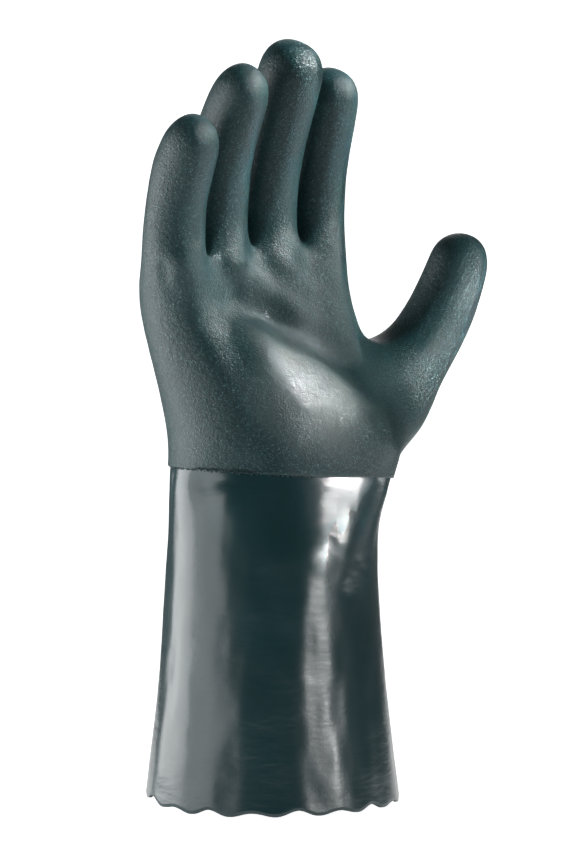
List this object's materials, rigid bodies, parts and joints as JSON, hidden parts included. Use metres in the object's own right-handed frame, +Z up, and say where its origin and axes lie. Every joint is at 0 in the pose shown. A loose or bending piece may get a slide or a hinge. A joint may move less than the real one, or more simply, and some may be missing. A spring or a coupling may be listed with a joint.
{
  "type": "pvc work glove",
  "caption": "Right-hand gauntlet glove of coated PVC with a sand-finish hand, a smooth flared cuff and a wavy cut hem, open and hollow.",
  "frame": {"origin": "middle of the cuff's mouth, level with the lowest points of the hem", "axes": "+Z up the glove from the hem to the fingertips, -Y out of the palm, +X towards the thumb"},
  "size_m": [0.1816, 0.1084, 0.3491],
  "materials": {
    "sand_finish": "fine sand-like grain, dark green, half matt",
    "smooth_finish": "smooth, glossy, dark green"
  },
  "bodies": {
    "root": {"hand": "sand_finish", "cuff": "smooth_finish"}
  },
  "joints": []
}
